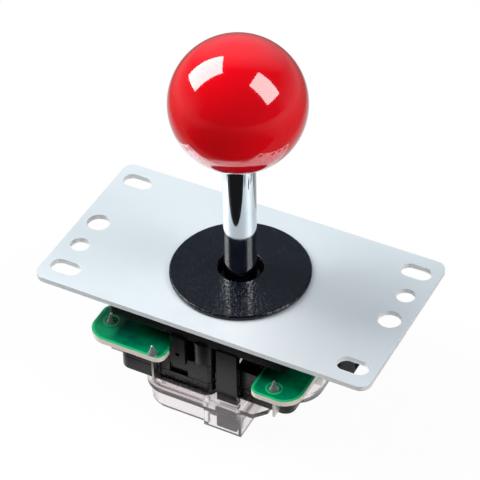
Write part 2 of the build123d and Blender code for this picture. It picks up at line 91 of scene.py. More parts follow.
# Sizes in mm, and the places of two switch pins on the board
BALL_HOLE = 4.7                  # radius of the hole round the shaft in the ball's flat
STRIP_GAP = 0.02                 # between the board's edge and the green border
STRIP_THICK = 0.01               # of the green border
LAND_INNER, LAND_OUTER = 1.75, 2.3   # radii of the ring printed round a corner pin
LAND_RISE, LAND_SLOPE = 0.03, 0.05
CORNER_PIN = (-26.4, -22.9)      # at a corner of the board
INNER_PIN = (-10.9, -28.79)      # the other pin of the same switch

# Patterns, as their scale per metre
LATHE_RINGS = 900.0              # a ring every 0.35 mm
BOARD_LAYERS = 800.0             # a layer every 0.4 mm
FLOW_MARKS = 240.0               # marks about 4 mm apart
ROLLING_MARKS = (60, 1600, 1600)  # marks 17 mm long and 0.6 mm wide along X
SHEAR_MARKS = (900, 900, 60)     # marks 1 mm wide that stand upright


# Small helpers

def linear(code):
    """An sRGB hex colour as linear RGBA."""
    parts = [int(code[i:i + 2], 16) / 255 for i in (0, 2, 4)]
    return tuple(p / 12.92 if p <= 0.04045 else ((p + 0.055) / 1.055) ** 2.4
                 for p in parts) + (1.0,)


def grey(value):
    """A plain value as the colour of a ramp's stop."""
    return (value, value, value, 1)


def only(geom, kind):
    """The elements of one kind from what a bmesh operator returns."""
    return [item for item in geom if isinstance(item, kind)]


def add_node(material, kind, settings=None, links=None):
    """Adds a node, sets its sockets or properties by name and links its inputs."""
    tree = material.node_tree
    node = tree.nodes.new(kind)
    for name, value in (settings or {}).items():
        if isinstance(name, int) or name in node.inputs:
            node.inputs[name].default_value = value
        else:
            setattr(node, name, value)
    for name, source in (links or {}).items():
        tree.links.new(source, node.inputs[name])
    return node


def new_material(name, **sockets):
    """A material with one Principled shader whose plain values stand on its own sockets."""
    material = bpy.data.materials.new(name)
    material.use_nodes = True
    shader = material.node_tree.nodes["Principled BSDF"]
    for socket, value in sockets.items():
        shader.inputs[socket.replace("_", " ")].default_value = value
    return material, shader


def link(material, source, shader, socket):
    """Links an output to a socket of the shader."""
    material.node_tree.links.new(source, shader.inputs[socket])


def ramp(material, fac, stops):
    """A colour ramp over fac, with stops of (position, colour)."""
    node = add_node(material, "ShaderNodeValToRGB", None, {"Fac": fac})
    elements = node.color_ramp.elements
    while len(elements) < len(stops):
        elements.new(0.5)
    for element, (position, colour) in zip(elements, stops):
        element.position = position
        element.color = colour
    return node.outputs["Color"]


def vary_colour(material, shader, fac, dark, light, start=0.3, end=0.7):
    """Base colour that goes from dark to light while fac goes from start to end."""
    tones = ramp(material, fac, [(start, linear(dark)), (end, linear(light))])
    link(material, tones, shader, "Base Color")


def vary_roughness(material, shader, fac, low, high, start=0.3, end=0.7):
    """Roughness that goes from low to high while fac goes from start to end."""
    rough = ramp(material, fac, [(start, grey(low)), (end, grey(high))])
    link(material, rough, shader, "Roughness")


def mottle(material, shader, place, size_mm, dark, light):
    """Base colour that drifts between two close tones over size_mm."""
    noise = add_node(material, "ShaderNodeTexNoise",
                     {"Scale": 1 / (size_mm * MM), "Detail": 3.0},
                     {"Vector": place.outputs["Object"]})
    vary_colour(material, shader, noise.outputs["Fac"], dark, light)


def streaks(material, place, per_metre, detail):
    """Noise drawn out along an axis, with its own scale per metre on each axis."""
    stretch = add_node(material, "ShaderNodeMapping", {"Scale": per_metre},
                       {"Vector": place.outputs["Object"]})
    noise = add_node(material, "ShaderNodeTexNoise", {"Scale": 1.0, "Detail": detail},
                     {"Vector": stretch.outputs["Vector"]})
    return noise.outputs["Fac"]


def grain(material, shader, size_mm, strength, depth_mm, detail=4.0):
    """Bump from fine noise whose bumps are size_mm across; returns the three nodes."""
    place = add_node(material, "ShaderNodeTexCoord")
    noise = add_node(material, "ShaderNodeTexNoise",
                     {"Scale": 1 / (size_mm * MM * 2), "Detail": detail},
                     {"Vector": place.outputs["Object"]})
    bump = add_node(material, "ShaderNodeBump",
                    {"Strength": strength, "Distance": depth_mm * MM},
                    {"Height": noise.outputs["Fac"]})
    link(material, bump.outputs["Normal"], shader, "Normal")
    return place, noise, bump


def place_piece(bm, name, body, replaces, materials, weighted=True):
    """Makes the finished object from a bmesh, at the origin, and says what it rides on."""
    mesh = bpy.data.meshes.new(name)
    bm.to_mesh(mesh)
    bm.free()
    piece = bpy.data.objects.new(name, mesh)
    bpy.context.scene.collection.objects.link(piece)
    for material in materials:
        mesh.materials.append(material)
    for polygon in mesh.polygons:
        polygon.use_smooth = True
    with bpy.context.temp_override(object=piece, active_object=piece,
                                   selected_editable_objects=[piece]):
        bpy.ops.object.shade_smooth_by_angle(angle=SMOOTH_ANGLE, keep_sharp_edges=True)
        if weighted:
            weights = piece.modifiers.new("weights", "WEIGHTED_NORMAL")
            weights.keep_sharp = True
            bpy.ops.object.modifier_apply(modifier=weights.name)
    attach(piece, body)
    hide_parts(*replaces)


def turned(profile, steps, centre=(0, 0)):
    """A bmesh spun once round the Z axis from points of (radius, height) in mm."""
    bm = bmesh.new()
    points = [bm.verts.new((r * MM, 0, z * MM)) for r, z in profile]
    edges = [bm.edges.new(pair) for pair in zip(points, points[1:])]
    bmesh.ops.spin(bm, geom=points + edges, cent=(0, 0, 0), axis=(0, 0, 1), dvec=(0, 0, 0),
                   angle=2 * math.pi, steps=steps, use_merge=True, use_normal_flip=False,
                   use_duplicate=False)
    bmesh.ops.remove_doubles(bm, verts=bm.verts, dist=SPIN_WELD)
    bmesh.ops.recalc_face_normals(bm, faces=bm.faces)
    bmesh.ops.translate(bm, verts=bm.verts, vec=(centre[0] * MM, centre[1] * MM, 0))
    return bm


def ring(profile, steps):
    """A closed bmesh ring grown through circles of (radius, height, centre x, centre y) in mm."""
    bm = bmesh.new()
    r, z, x, y = profile[0]
    bmesh.ops.create_circle(bm, cap_ends=False, radius=r * MM, segments=steps,
                            matrix=Matrix.Translation((x * MM, y * MM, z * MM)))
    edges = bm.edges[:]
    for (r, z, x, y), (next_r, next_z, next_x, next_y) in zip(profile, profile[1:] + profile[:1]):
        grown = bmesh.ops.extrude_edge_only(bm, edges=edges)["geom"]
        verts = only(grown, BMVert)
        edges = [e for e in only(grown, BMEdge) if all(v in verts for v in e.verts)]
        bmesh.ops.translate(bm, verts=verts, vec=(-x * MM, -y * MM, (next_z - z) * MM))
        bmesh.ops.scale(bm, verts=verts, vec=(next_r / r, next_r / r, 1))
        bmesh.ops.translate(bm, verts=verts, vec=(next_x * MM, next_y * MM, 0))
    bmesh.ops.remove_doubles(bm, verts=bm.verts, dist=RING_WELD)
    bmesh.ops.recalc_face_normals(bm, faces=bm.faces)
    return bm


def softened(node, width_mm, segments=2):
    """A merged copy of a CAD node's mesh with its sharp edges rounded."""
    bm = bmesh.new()
    bm.from_mesh(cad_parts[node].data)
    bmesh.ops.remove_doubles(bm, verts=bm.verts, dist=CAD_WELD)
    bmesh.ops.dissolve_limit(bm, angle_limit=FLAT_ANGLE, verts=bm.verts, edges=bm.edges,
                             use_dissolve_boundaries=False, delimit=set())
    sharp = [e for e in bm.edges if e.is_manifold and e.calc_face_angle(0.0) > ROUND_ANGLE]
    bmesh.ops.bevel(bm, geom=sharp, offset=width_mm * MM, offset_type="OFFSET",
                    segments=segments, profile=0.5, affect="EDGES", clamp_overlap=True,
                    material=-1)
    bmesh.ops.recalc_face_normals(bm, faces=bm.faces)
    return bm


def outer_rim(bm):
    """The loops round the upward faces, one after the other, and the way inward at each corner."""
    inward, after = {}, {}
    for face in (f for f in bm.faces if f.normal.z > UPWARD):
        for loop in face.loops:
            others = [f for f in loop.edge.link_faces if f is not face]
            if not others or not loop.edge.is_manifold or any(f.normal.z > UPWARD for f in others):
                continue
            a, b = loop.vert, loop.link_loop_next.vert
            after[a] = loop
            way = Vector((a.co.y - b.co.y, b.co.x - a.co.x, 0)).normalized()
            for vert in (a, b):
                inward[vert] = inward.get(vert, Vector((0, 0, 0))) + way
    first = max(after, key=lambda vert: vert.co.length)
    chain = [after[first]]
    while chain[-1].link_loop_next.vert is not first:
        chain.append(after[chain[-1].link_loop_next.vert])
    return chain, inward


def edge_strip(bm, width_mm, rise_mm, index):
    """A thin raised strip that follows the outer edge of the upward faces, a little inside it."""
    chain, inward = outer_rim(bm)
    corners = [loop.vert for loop in chain]
    copy = bmesh.ops.duplicate(bm, geom=[loop.edge for loop in chain] + corners)
    ways = {copy["vert_map"][vert]: inward[vert].normalized() * MM for vert in corners}
    for vert, way in ways.items():
        vert.co += way * STRIP_GAP + Vector((0, 0, rise_mm * MM))
    grown = bmesh.ops.extrude_edge_only(bm, edges=only(copy["geom"], BMEdge))["geom"]
    strip = only(grown, BMFace)
    inner = set(only(grown, BMVert))
    for vert, way in ways.items():
        for edge in vert.link_edges:
            other = edge.other_vert(vert)
            if other in inner:
                other.co += way * width_mm
    for face in strip:
        face.material_index = index
    bmesh.ops.recalc_face_normals(bm, faces=strip)
    if strip[0].normal.z < 0:
        bmesh.ops.reverse_faces(bm, faces=strip)
    skin = bmesh.ops.extrude_face_region(bm, geom=strip, use_keep_orig=True)["geom"]
    bmesh.ops.translate(bm, verts=only(skin, BMVert), vec=(0, 0, STRIP_THICK * MM))
    bmesh.ops.recalc_face_normals(bm, faces=bm.faces)


def split_sheet(bm):
    """Puts the two faces of a sheet on the first material and its cut edges on the second."""
    for face in bm.faces:
        face.material_index = 0 if abs(face.normal.z) > SHEET_FACE else 1


def join(whole, part, turn=0):
    """Adds a bmesh to another, turned by quarter turns round Z, and frees it."""
    mesh = bpy.data.meshes.new("joined")
    part.to_mesh(mesh)
    part.free()
    mesh.transform(Matrix.Rotation(turn * math.pi / 2, 4, "Z"))
    whole.from_mesh(mesh)
    bpy.data.meshes.remove(mesh)


def dress(nodes, material):
    """Gives CAD nodes a better material on their own slots."""
    for name in nodes:
        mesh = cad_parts[name].data
        mesh.materials.clear()
        mesh.materials.append(material)


# Finishes

def enamel_ball(colours):
    """Injection-moulded phenolic ball, buffed: a clear hard gloss over deep red."""
    material, shader = new_material("phenolic_buffed_red", Roughness=0.08, IOR=1.6,
                                    Coat_Weight=1.0, Coat_IOR=1.6, Coat_Roughness=0.02)
    place = add_node(material, "ShaderNodeTexCoord")
    mottle(material, shader, place, 22, colours.ball_dark, colours.ball_light)
    return material


def chrome(colours):
    """Polished chromium plate on turned steel: mirror gloss with faint rings from the lathe."""
    material, shader = new_material("chromium_plate_polished", Metallic=1.0)
    place = add_node(material, "ShaderNodeTexCoord")
    mottle(material, shader, place, 14, colours.chrome_dark, colours.chrome_light)
    rings = add_node(material, "ShaderNodeTexWave",
                     {"Scale": LATHE_RINGS, "Distortion": 0.6, "bands_direction": "Z"},
                     {"Vector": place.outputs["Object"]})
    vary_roughness(material, shader, rings.outputs["Fac"], low=0.045, high=0.075,
                   start=0.0, end=1.0)
    return material


def plate_steel(colours):
    """Cold-rolled sheet, bright zinc plated: a soft satin sheen, faintly rolled along X."""
    material, shader = new_material("steel_zinc_satin", Metallic=0.45)
    place = add_node(material, "ShaderNodeTexCoord")
    mottle(material, shader, place, 34, colours.plate_dark, colours.plate_light)
    marks = streaks(material, place, ROLLING_MARKS, detail=5.0)
    vary_roughness(material, shader, marks, low=0.46, high=0.54)
    bump = add_node(material, "ShaderNodeBump", {"Strength": 0.04, "Distance": 0.02 * MM},
                    {"Height": marks})
    link(material, bump.outputs["Normal"], shader, "Normal")
    return material


def plate_edge(colours):
    """Sheared and punched edges of the sheet with fine upright lines, painted near white: a painted
    highlight on edges that would otherwise render in shade.
    """
    material, shader = new_material("steel_edge_painted_highlight", Metallic=0.15, Roughness=0.35)
    place = add_node(material, "ShaderNodeTexCoord")
    # painted highlight: the cut edges are coloured near white, lighter than the plate's faces
    vary_colour(material, shader, streaks(material, place, SHEAR_MARKS, detail=3.0),
                colours.edge_highlight_dark, colours.edge_highlight_light)
    return material


def bright_metal(name, dark, light, roughness, metallic=1.0):
    """Plated small metal: zinc, tin or turned brass, with a light uneven gloss."""
    material, shader = new_material(name, Metallic=metallic, Roughness=roughness)
    place = grain(material, shader, size_mm=0.4, strength=0.12, depth_mm=0.02)[0]
    mottle(material, shader, place, 3, dark, light)
    return material


def moulded(name, dark, light, roughness, grain_mm=0.35, strength=0.35):
    """Injection-moulded plastic with a spark-eroded grain and a gloss that follows it."""
    material, shader = new_material(name, IOR=1.5, Specular_IOR_Level=0.36)
    place, noise = grain(material, shader, grain_mm, strength, depth_mm=0.05)[:2]
    mottle(material, shader, place, 9, dark, light)
    vary_roughness(material, shader, noise.outputs["Fac"], low=roughness - 0.06,
                   high=roughness + 0.06, start=0.35, end=0.65)
    return material


def washer_plastic(colours):
    """Moulded nylon washer: glossy, with a sparse pebbled grain that breaks up its mirror."""
    material, shader = new_material("nylon_grained_black", IOR=1.5, Specular_IOR_Level=0.40)
    place, noise, bump = grain(material, shader, size_mm=0.32, strength=1.0, depth_mm=0.20,
                               detail=1.0)
    pebbles = ramp(material, noise.outputs["Fac"],
                   [(0.44, grey(0)), (0.58, grey(0.12)), (0.66, grey(1))])
    link(material, pebbles, bump, "Height")
    mottle(material, shader, place, 6, colours.washer_dark, colours.washer_light)
    vary_roughness(material, shader, noise.outputs["Fac"], low=0.07, high=0.16,
                   start=0.42, end=0.58)
    return material


def solder_mask(name, dark, light):
    """Glossy solder mask, cured over the copper or over bare laminate."""
    material, shader = new_material(name, IOR=1.45, Roughness=0.10, Specular_IOR_Level=0.25)
    place = grain(material, shader, size_mm=1.6, strength=0.10, depth_mm=0.03, detail=2.0)[0]
    mottle(material, shader, place, 7, dark, light)
    return material


def board_edge(colours):
    """Sawn glass-epoxy edge: cream with fine layers lying flat."""
    material, shader = new_material("glass_epoxy_sawn", IOR=1.5, Roughness=0.5)
    place = add_node(material, "ShaderNodeTexCoord")
    layers = add_node(material, "ShaderNodeTexWave",
                      {"Scale": BOARD_LAYERS, "Distortion": 2.0, "bands_direction": "Z"},
                      {"Vector": place.outputs["Object"]})
    vary_colour(material, shader, layers.outputs["Fac"], colours.edge_dark, colours.edge_light,
                start=0.0, end=1.0)
    return material


def clear_plastic(colours):
    """Moulded clear polycarbonate with slight flow marks that bend what is seen through it."""
    material, shader = new_material("polycarbonate_clear", IOR=1.4, Roughness=0.20,
                                    Transmission_Weight=0.92)
    shader.inputs["Base Color"].default_value = linear(colours.clear)
    place = add_node(material, "ShaderNodeTexCoord")
    noise = add_node(material, "ShaderNodeTexNoise", {"Scale": FLOW_MARKS, "Detail": 1.0},
                     {"Vector": place.outputs["Object"]})
    bump = add_node(material, "ShaderNodeBump", {"Strength": 0.10, "Distance": 0.2 * MM},
                    {"Height": noise.outputs["Fac"]})
    link(material, bump.outputs["Normal"], shader, "Normal")
    return material


# What a user would change

class JoystickSizes(bpy.types.PropertyGroup):
    ball_radius: bpy.props.FloatProperty(
        name="Ball radius", description="Radius of the ball top",
        default=0.0175, unit="LENGTH")
    ball_height: bpy.props.FloatProperty(
        name="Ball height", description="Centre of the ball above the plate",
        default=0.0549, unit="LENGTH")
    ball_flat: bpy.props.FloatProperty(
        name="Ball flat", description="Height of the flat under the ball",
        default=0.038287, unit="LENGTH")
    shaft_radius: bpy.props.FloatProperty(
        name="Shaft radius", description="Radius of the polished shaft",
        default=0.00435, unit="LENGTH")
    washer_radius: bpy.props.FloatProperty(
        name="Washer radius", description="Outer radius of the dust washer",
        default=0.0187, unit="LENGTH")
    washer_hole: bpy.props.FloatProperty(
        name="Washer hole", description="Radius of the hole in the dust washer",
        default=0.0061, unit="LENGTH")


class JoystickColours(bpy.types.PropertyGroup):
    ball_dark: bpy.props.StringProperty(
        name="Ball, darker", description="Darker red of the ball, sRGB hex",
        default="EE000F")
    ball_light: bpy.props.StringProperty(
        name="Ball, lighter", description="Lighter red of the ball, sRGB hex",
        default="F80118")
    chrome_dark: bpy.props.StringProperty(
        name="Chrome, darker", description="Darker tone of the shaft, sRGB hex",
        default="D2D6DA")
    chrome_light: bpy.props.StringProperty(
        name="Chrome, lighter", description="Lighter tone of the shaft, sRGB hex",
        default="E2E5E8")
    plate_dark: bpy.props.StringProperty(
        name="Plate, darker", description="Darker tone of the plate, sRGB hex",
        default="E0EAEE")
    plate_light: bpy.props.StringProperty(
        name="Plate, lighter", description="Lighter tone of the plate, sRGB hex",
        default="E6F0F4")
    # painted highlight: the plate's cut edges are painted near white, lighter than the plate itself
    edge_highlight_dark: bpy.props.StringProperty(
        name="Plate edge, darker", description="Darker tone of the plate's cut edges, sRGB hex",
        default="F0F5F8")
    edge_highlight_light: bpy.props.StringProperty(
        name="Plate edge, lighter", description="Lighter tone of the plate's cut edges, sRGB hex",
        default="FCFEFF")
    washer_dark: bpy.props.StringProperty(
        name="Washer, darker", description="Darker tone of the washer, sRGB hex",
        default="060A14")
    washer_light: bpy.props.StringProperty(
        name="Washer, lighter", description="Lighter tone of the washer, sRGB hex",
        default="0A0F1C")
    mask_dark: bpy.props.StringProperty(
        name="Solder mask, darker", description="Darker green of the board, sRGB hex",
        default="00503F")
    mask_light: bpy.props.StringProperty(
        name="Solder mask, lighter", description="Lighter green of the board, sRGB hex",
        default="00925F")
    border_dark: bpy.props.StringProperty(
        name="Board border, darker", description="Darker green along the board's edge, sRGB hex",
        default="0AA866")
    border_light: bpy.props.StringProperty(
        name="Board border, lighter", description="Lighter green along the board's edge, sRGB hex",
        default="2CB878")
    edge_dark: bpy.props.StringProperty(
        name="Board edge, darker", description="Darker cream of the board's edge, sRGB hex",
        default="F8E6D6")
    edge_light: bpy.props.StringProperty(
        name="Board edge, lighter", description="Lighter cream of the board's edge, sRGB hex",
        default="FFF6EC")
    clear: bpy.props.StringProperty(
        name="Gate", description="Tint of the clear gate, sRGB hex",
        default="FBF5F6")


# The pieces

class JOYSTICK_OT_ball(bpy.types.Operator):
    """Ball top with its flat underside and the brass insert"""
    bl_idname = "joystick.ball"
    bl_label = "Ball top"

    def execute(self, context):
        sizes, colours = context.scene.joystick_sizes, context.scene.joystick_colours
        bm = bmesh.new()
        bmesh.ops.create_uvsphere(bm, u_segments=BALL_STEPS, v_segments=BALL_RINGS,
                                  radius=sizes.ball_radius,
                                  matrix=Matrix.Translation((0, 0, sizes.ball_height)))
        cut = bmesh.ops.bisect_plane(bm, geom=bm.verts[:] + bm.edges[:] + bm.faces[:],
                                     dist=CUT_REACH, plane_co=(0, 0, sizes.ball_flat),
                                     plane_no=(0, 0, 1), clear_inner=True)
        flat = bmesh.ops.extrude_edge_only(bm, edges=only(cut["geom_cut"], BMEdge))
        inner = only(flat["geom"], BMVert)
        smaller = BALL_HOLE * MM / math.hypot(inner[0].co.x, inner[0].co.y)
        bmesh.ops.scale(bm, vec=(smaller, smaller, 1), verts=inner)
        bmesh.ops.recalc_face_normals(bm, faces=bm.faces)
        place_piece(bm, "ball", "lever", ["ball_top"], [enamel_ball(colours)],
                    weighted=False)
        dress(["ball_insert"], bright_metal("brass_turned", "B8904A", "CBA660", roughness=0.28))
        return {"FINISHED"}


class JOYSTICK_OT_shaft(bpy.types.Operator):
    """Chromed lever shaft with its thin stem, clip groove and rounded shoulder"""
    bl_idname = "joystick.shaft"
    bl_label = "Lever shaft"

    def execute(self, context):
        sizes, colours = context.scene.joystick_sizes, context.scene.joystick_colours
        radius, top = sizes.shaft_radius / MM, sizes.ball_flat / MM
        stem, groove, corner, chamfer = 3.0, 2.25, 0.25, 0.4
        tip, shoulder, groove_top, groove_foot, end = 49.2, -2.35, -28.2, -28.9, -30.5
        bm = turned([
            (0, tip), (stem - chamfer, tip), (stem, tip - chamfer), (stem, top),
            (radius - corner, top), (radius, top - corner),
            (radius, shoulder + corner), (radius - corner, shoulder), (stem, shoulder),
            (stem, groove_top), (groove, groove_top), (groove, groove_foot), (stem, groove_foot),
            (stem, end + chamfer), (stem - chamfer, end), (0, end),
        ], SHAFT_STEPS)
        place_piece(bm, "shaft", "lever", ["lever_shaft"], [chrome(colours)])
        return {"FINISHED"}


class JOYSTICK_OT_washer(bpy.types.Operator):
    """Loose dust washer with a rolled rim"""
    bl_idname = "joystick.washer"
    bl_label = "Dust washer"

    def execute(self, context):
        sizes, colours = context.scene.joystick_sizes, context.scene.joystick_colours
        radius, hole = sizes.washer_radius / MM, sizes.washer_hole / MM
        low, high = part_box("dust_washer")
        thick = high[2] / MM
        x, y = (low[0] + high[0]) / 2 / MM, (low[1] + high[1]) / 2 / MM
        # Radius and height along the section: up the hole's rounded edge, out and round the rim
        inner = [(hole, 0.15), (hole, thick - 0.3), (hole + 0.1, thick - 0.1), (hole + 0.3, thick)]
        outer = [(radius - 0.5, thick), (radius - 0.2, thick - 0.12), (radius, thick - 0.4),
                 (radius, 0.2), (radius - 0.2, 0)]
        profile = [(r, z, 0, 0) for r, z in inner] + [(r, z, x, y) for r, z in outer]
        bm = ring(profile + [(hole + 0.15, 0, 0, 0)], WASHER_STEPS)
        place_piece(bm, "washer", "base", ["dust_washer"],
                    [washer_plastic(colours)])
        return {"FINISHED"}


class JOYSTICK_OT_plate(bpy.types.Operator):
    """Mounting plate with lightly broken edges, and its screws"""
    bl_idname = "joystick.plate"
    bl_label = "Mounting plate"

    def execute(self, context):
        colours = context.scene.joystick_colours
        bm = softened("mounting_plate", width_mm=0.12)
        split_sheet(bm)
        place_piece(bm, "plate", "base", ["mounting_plate"],
                    # the cut edges get the near-white painted highlight
                    [plate_steel(colours), plate_edge(colours)])
        dress(["plate_screws"], bright_metal("zinc_plate", "A9ADB2", "C6CACE", roughness=0.3))
        return {"FINISHED"}


class JOYSTICK_OT_housing(bpy.types.Operator):
    """Black housing with softened edges"""
    bl_idname = "joystick.housing"
    bl_label = "Housing"

    def execute(self, context):
        black = moulded("nylon_moulded_black", "0C0B0F", "131217", roughness=0.20,
                        grain_mm=0.30, strength=0.03)
        place_piece(softened("housing", width_mm=0.3, segments=3), "housing_body", "base",
                    ["housing"], [black])
        return {"FINISHED"}


class JOYSTICK_OT_board(bpy.types.Operator):
    """Circuit board with green faces and cream edges, and its solder joints"""
    bl_idname = "joystick.board"
    bl_label = "Circuit board"

    def execute(self, context):
        colours = context.scene.joystick_colours
        mask = solder_mask("solder_mask_green", colours.mask_dark, colours.mask_light)
        bare = solder_mask("solder_mask_on_laminate", colours.border_dark, colours.border_light)
        bare_slot = 2
        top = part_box("circuit_board")[1][2] / MM
        bm = softened("circuit_board", width_mm=0.12, segments=1)
        split_sheet(bm)
        edge_strip(bm, width_mm=0.7, rise_mm=0.015, index=bare_slot)
        x, y = CORNER_PIN
        for _ in range(4):
            land = ring([(LAND_INNER, top, x, y), (LAND_INNER + LAND_SLOPE, top + LAND_RISE, x, y),
                         (LAND_OUTER - LAND_SLOPE, top + LAND_RISE, x, y),
                         (LAND_OUTER, top, x, y)], LAND_STEPS)
            for face in land.faces:
                face.material_index = bare_slot
            join(bm, land)
            x, y = -y, x
        place_piece(bm, "board", "base", ["circuit_board"],
                    [mask, board_edge(colours), bare])
        tin = bright_metal("solder_fillet", "D8DAD9", "F4F6F5", roughness=0.16, metallic=0.8)
        # A fillet of tin that climbs the pin
        cone = [(0, top + 2.6), (0.3, top + 2.5), (0.45, top + 2.1), (0.6, top + 1.3),
                (0.95, top + 0.6), (1.38, top + 0.1), (1.4, top)]
        joints = bmesh.new()
        for turn in range(4):
            for pin in (INNER_PIN, CORNER_PIN):
                join(joints, turned(cone, SOLDER_STEPS, pin), turn)
        place_piece(joints, "solder", "base", ["solder_joints"], [tin])
        return {"FINISHED"}


class JOYSTICK_OT_switches(bpy.types.Operator):
    """Four microswitches with their covers, plungers and terminals"""
    bl_idname = "joystick.switches"
    bl_label = "Microswitches"

    def execute(self, context):
        case = moulded("phenolic_moulded_brown", "120F0E", "1B1716", roughness=0.24,
                       grain_mm=0.40, strength=0.05)
        pin = moulded("acetal_black", "161616", "222222", roughness=0.4)
        tin = bright_metal("tin_plate", "B4B2AC", "D8D6D0", roughness=0.3)
        for side in ("front", "right", "back", "left"):
            for part in ("switch_case_", "switch_cover_"):
                name = part.replace("switch_", "moulded_") + side
                place_piece(softened(part + side, width_mm=0.25), name, "base",
                            [part + side], [case])
            dress(["plunger_" + side], pin)
            dress(["terminals_" + side], tin)
        return {"FINISHED"}


class JOYSTICK_OT_gate(bpy.types.Operator):
    """Clear restrictor gate with rounded moulded edges"""
    bl_idname = "joystick.gate"
    bl_label = "Gate"

    def execute(self, context):
        clear = clear_plastic(context.scene.joystick_colours)
        place_piece(softened("gate", width_mm=0.2), "clear_gate", "base",
                    ["gate"], [clear])
        return {"FINISHED"}


class JOYSTICK_OT_inner_parts(bpy.types.Operator):
    """Pivot ball, actuator, spring, seat, clip and the connector"""
    bl_idname = "joystick.inner_parts"
    bl_label = "Inner parts and connector"

    def execute(self, context):
        pivot = moulded("acetal_black_pivot", "101012", "18181A", roughness=0.35,
                        grain_mm=0.3, strength=0.2)
        acetal = moulded("acetal_white", "CFCEC8", "DEDDD8", roughness=0.35,
                         grain_mm=0.3, strength=0.2)
        zinc = bright_metal("zinc_spring_steel", "8F9398", "B4B8BC", roughness=0.32)
        dark = moulded("nylon_connector", "26262B", "33333A", roughness=0.45)
        tin = bright_metal("tin_pins", "C9C7C0", "E6E4DE", roughness=0.25)
        dress(["pivot_ball"], pivot)
        dress(["actuator"], acetal)
        dress(["return_spring", "spring_seat", "retaining_clip"], zinc)
        place_piece(softened("connector_housing", width_mm=0.1), "socket", "base",
                    ["connector_housing"], [dark])
        dress(["connector_pins"], tin)
        return {"FINISHED"}


# The stage: distances in metres, brightness as a share of white

FLOOR_SIZE = 6.0                 # half the side of the paper
FLOOR_GAP = 0.00005              # between the part and the paper
PAPER_SHARE = 0.96               # of plain white in what the camera sees; the rest is lit paper

# The painted glow that a mirror shows of the paper, by the distance from the shaft: a painted
# reflection, not lit paper
FLOOR_FRONT = (0.21, -0.978, 0.0)            # towards the side where the room is open and dark
PAPER_BEHIND, PAPER_OPEN = 0.09, 0.012       # brightness behind, and on the open side
OPEN_START, OPEN_END = 0.046, 0.054          # the step between them near the part
STEP_GROWTH, STEP_START = 1.2, -0.126        # far out the step ends at distance * 1.2 - 0.126
UNDER_START, UNDER_END = 0.054, 0.060        # white under the part
# painted reflection: a bright patch of glow behind the ball that only mirrors see
PATCH, PATCH_LEVEL = (-0.046, 0.088, 0.0), 0.60  # a bright patch behind the ball
PATCH_START, PATCH_END = 0.05, 0.16
FAR_START, FAR_END, FAR_GAIN = 0.16, 0.50, 1.6   # brighter again far out

# What a mirror shows of the room, by the direction it looks in
ROOM_TINT = "DCE8F6"
ROOM_DARK, ROOM_LIGHT = 0.04, 0.22
WALL_FOOT, WALL_TOP = 0.05, 0.50             # a low wall, by the direction's Z
FRONT = (0.515, -0.857, 0.0)                 # where the wall is open
FRONT_START, FRONT_END = 0.10, 0.45
BACK_WALL, BACK_LEVEL = (-0.331, 0.781, 0.530), 0.42
BACK_START, BACK_END = 0.55, 0.90

# Soft boxes: name, direction from the part, direction of the height, width, height, power in W
SOFT_BOXES = (
    ("softbox_left", (-0.737, -0.067, 0.673), (0.588, 0.373, 0.718), 0.46, 0.68, 7.6),
    ("softbox_right", (0.728, 0.076, 0.682), (-0.468, -0.029, 0.535), 0.40, 0.57, 3.9),
)
BOX_DISTANCE = 0.75
BOX_AIM = Vector((0, 0, 0.055))              # the middle of the ball

# The camera, fitted to the photograph
FOCAL_LENGTH, SENSOR_WIDTH = 172.716, 36.0   # in mm
CLIP_START = 0.05
CAMERA_PLACE = Vector((0.20825843, -0.39638481, 0.40272841))
CAMERA_AXES = (
    (0.8901467, 0.45550557, -0.01239075),
    (-0.29197982, 0.59104, 0.75194381),
    (0.34983802, -0.66572246, 0.65911074),
)


